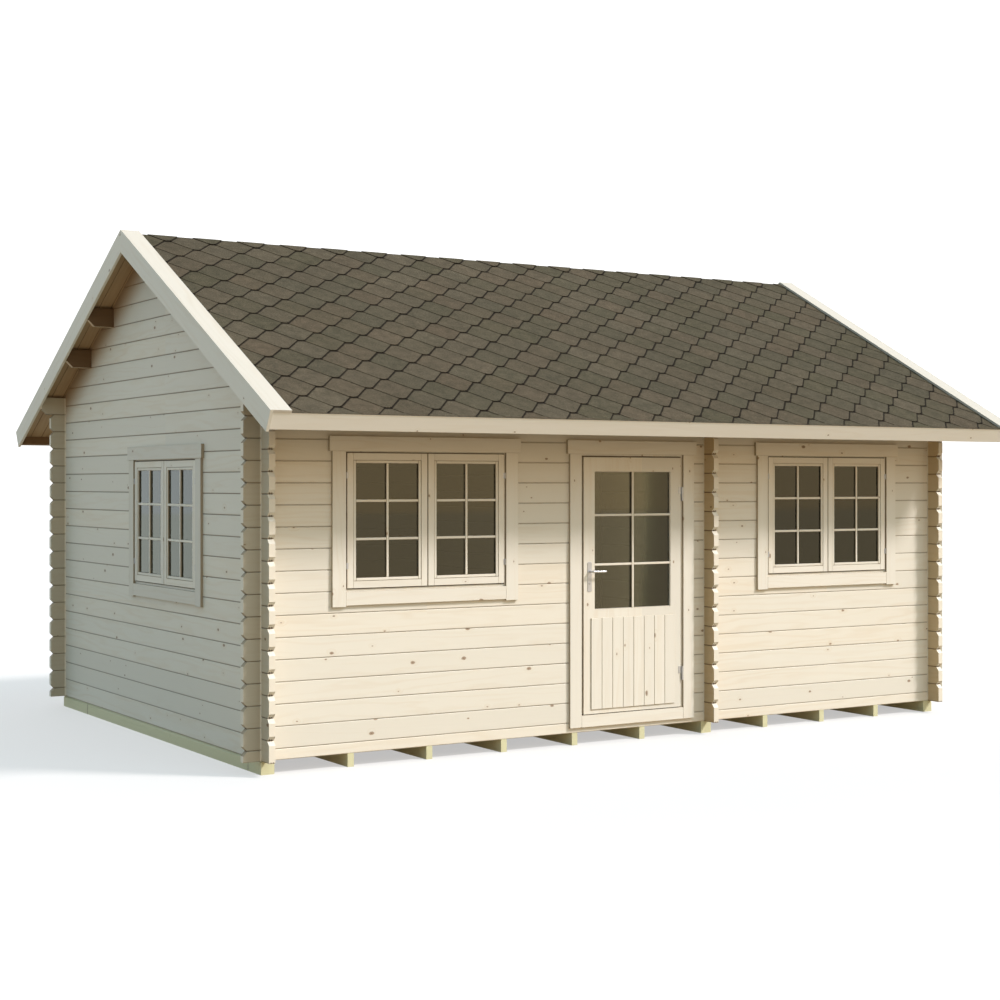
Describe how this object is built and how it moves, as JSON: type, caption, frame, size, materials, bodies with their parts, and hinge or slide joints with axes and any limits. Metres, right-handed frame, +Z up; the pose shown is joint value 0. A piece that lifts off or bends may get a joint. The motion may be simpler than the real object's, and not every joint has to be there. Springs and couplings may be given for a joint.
{
  "type": "log cabin",
  "caption": "Small gabled log cabin with interlocking notched logs, a shingled roof, paned double windows and a half-glazed door that swings out.",
  "frame": {"origin": "on the ground, under the middle of the roof's length and the ridge", "axes": "+X along the front wall towards the small room, +Y from the front wall to the rear wall, +Z up"},
  "size_m": [6.564, 5.4282, 3.7933],
  "materials": {
    "pine": "planed, bare",
    "trim": "planed, bare",
    "purlin": "planed, bare",
    "treated_timber": "sawn, pressure treated",
    "floorboards": "planed, bare",
    "roof_boards": "planed, bare",
    "shingles": "mineral granules",
    "glass": "clear",
    "metal": "satin"
  },
  "bodies": {
    "cabin": {"front_sill_log": "pine", "front_wall_left": "pine", "front_wall_right": "pine", "front_wall_top": "pine", "rear_wall": "pine", "left_gable_wall": "pine", "right_gable_wall": "pine", "partition_wall": "pine", "partition_casing": "trim", "front_fascia": "trim", "rear_fascia": "trim", "left_bargeboards": "trim", "right_bargeboards": "trim", "left_verge_covers": "trim", "right_verge_covers": "trim", "door_frame": "trim", "door_casing": "trim", "left_window_frame": "trim", "left_window_sashes": "trim", "left_window_casing": "trim", "right_window_frame": "trim", "right_window_sashes": "trim", "right_window_casing": "trim", "gable_window_frame": "trim", "gable_window_sashes": "trim", "gable_window_casing": "trim", "ridge_purlin": "purlin", "side_purlins": "purlin", "gable_bearers": "treated_timber", "partition_bearers": "treated_timber", "floor_joists": "treated_timber", "floor_boards": "floorboards", "front_roof_boards": "roof_boards", "rear_roof_boards": "roof_boards", "front_shingles": "shingles", "rear_shingles": "shingles", "ridge_cap": "shingles", "window_glass": "glass", "hinge_pins": "metal"},
    "door": {"door_leaf": "trim", "door_panels": "trim", "door_glass": "glass", "door_plates": "metal", "hinge_knuckles": "metal"},
    "lever": {"door_lever": "metal"}
  },
  "joints": [
    {"name": "door_swing", "type": "hinge", "parent": "cabin", "child": "door", "pos_m": [0.372, -2.087, 1.1], "axis": [0, 0, 1], "range_deg": [0, 110]},
    {"name": "lever_turn", "type": "hinge", "parent": "door", "child": "lever", "pos_m": [-0.473, -2.06, 1.2575], "axis": [0, 1, 0], "range_deg": [0, 45], "stiffness_Nm_per_rad": 0.8, "springref_deg": -28.65}
  ]
}
